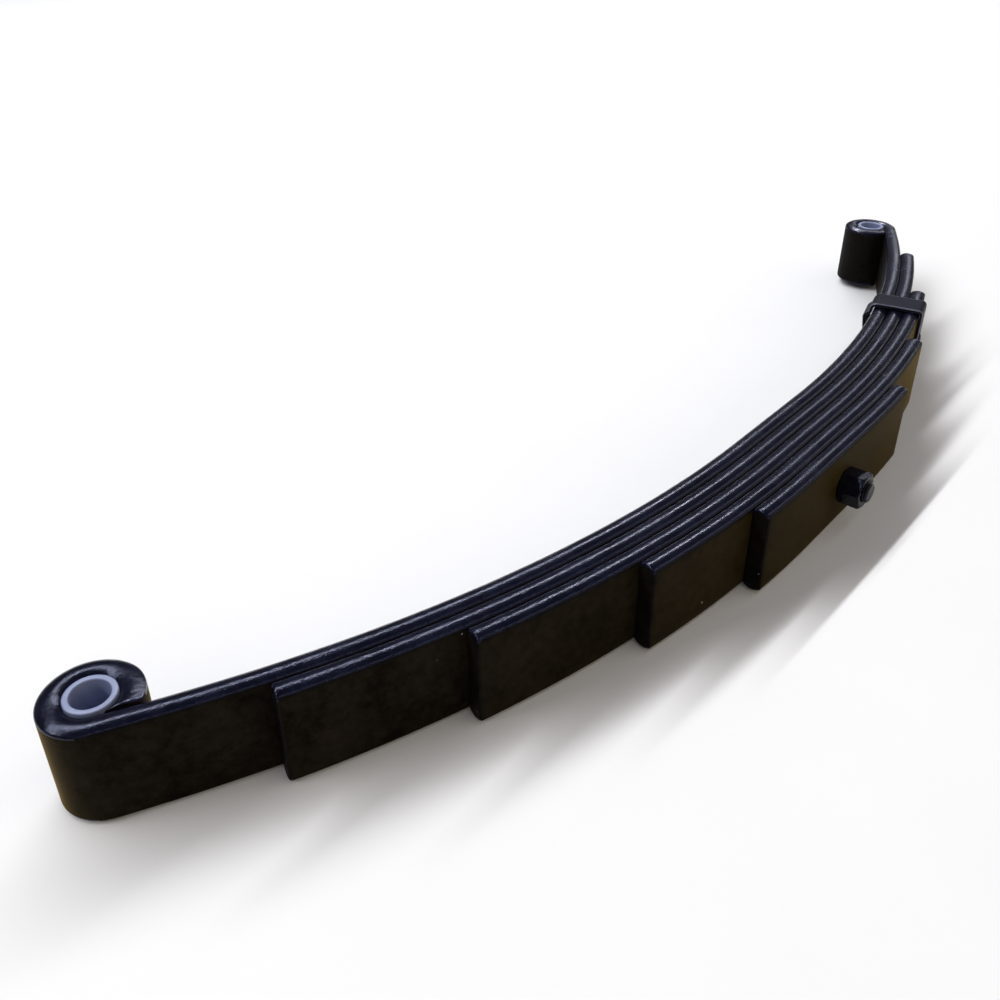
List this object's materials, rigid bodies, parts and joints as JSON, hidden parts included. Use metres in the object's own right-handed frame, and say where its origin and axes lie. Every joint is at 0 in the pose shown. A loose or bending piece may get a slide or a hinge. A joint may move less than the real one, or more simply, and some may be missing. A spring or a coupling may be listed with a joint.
{
  "type": "leaf spring",
  "caption": "Double-eye leaf spring for a light trailer: stacked arched steel leaves on a centre bolt, bushed eyes at both ends and a rebound clip on one arm.",
  "frame": {"origin": "where the centre bolt's axis meets the main leaf's concave seat, at the middle of the leaf's width", "axes": "the spring lies on its side: +Z along the eye axes, +X from the front eye to the rear eye, +Y along the centre bolt towards the concave side"},
  "size_m": [0.6978, 0.1623, 0.0494],
  "materials": {
    "leaf_paint": "gloss black paint over rolled spring steel",
    "fastener_paint": "thin gloss black paint over steel",
    "clip_paint": "satin black paint over steel strap",
    "nylon": "pale blue-grey nylon, slightly translucent and satin"
  },
  "bodies": {
    "leaf_pack": {"leaf_1_main": "leaf_paint", "leaf_2": "leaf_paint", "leaf_3": "leaf_paint", "leaf_4": "leaf_paint", "leaf_5": "leaf_paint", "centre_bolt": "fastener_paint", "centre_nut": "fastener_paint"},
    "front_eye": {"front_bushing": "nylon"},
    "rear_eye": {"rear_bushing": "nylon"},
    "clip": {"rebound_clip": "clip_paint", "clip_rivet": "clip_paint"}
  },
  "joints": [
    {"name": "front_flex", "type": "hinge", "parent": "leaf_pack", "child": "front_eye", "pos_m": [-0.075, 0, 0], "axis": [0, 0, 1], "range_deg": [-2, 12], "stiffness_Nm_per_rad": 8000, "deforming": ["leaf_1_main", "leaf_2", "leaf_3", "leaf_4", "leaf_5"]},
    {"name": "rear_flex", "type": "hinge", "parent": "leaf_pack", "child": "rear_eye", "pos_m": [0.075, 0, 0], "axis": [0, 0, -1], "range_deg": [-2, 12], "stiffness_Nm_per_rad": 8000, "deforming": ["leaf_1_main", "leaf_2", "leaf_3", "leaf_4", "leaf_5"]},
    {"name": "clip_follow", "type": "hinge", "parent": "leaf_pack", "child": "clip", "pos_m": [0.1317, 0.0037, 0], "axis": [0, 0, -1], "range_deg": [-2.4, 13.5]}
  ],
  "couplings": [
    {"joint": "clip_follow", "follows": "rear_flex", "ratio": 1.0958}
  ]
}
